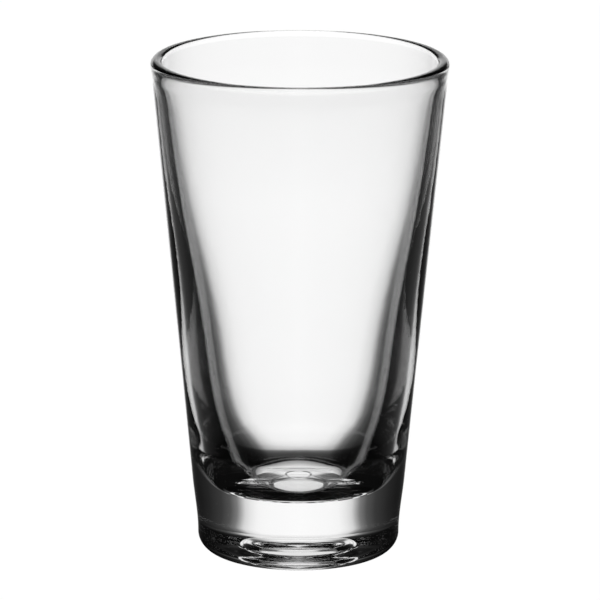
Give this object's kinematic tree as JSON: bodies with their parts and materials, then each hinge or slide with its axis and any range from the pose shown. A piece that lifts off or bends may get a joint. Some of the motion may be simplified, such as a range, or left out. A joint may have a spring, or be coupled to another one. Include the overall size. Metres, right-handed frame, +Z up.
{
  "type": "mixing glass",
  "caption": "Heavy-based conical bar mixing glass with a rounded lip, a thick tapering wall and a domed recess under the base.",
  "frame": {"origin": "centre of the resting plane under the base", "axes": "+Z up the glass's axis, towards the mouth; the glass is round, so +X and +Y are any pair across it"},
  "size_m": [0.0886, 0.0884, 0.15],
  "materials": {
    "clear_glass": "polished"
  },
  "bodies": {
    "root": {"glass": "clear_glass"}
  },
  "joints": []
}
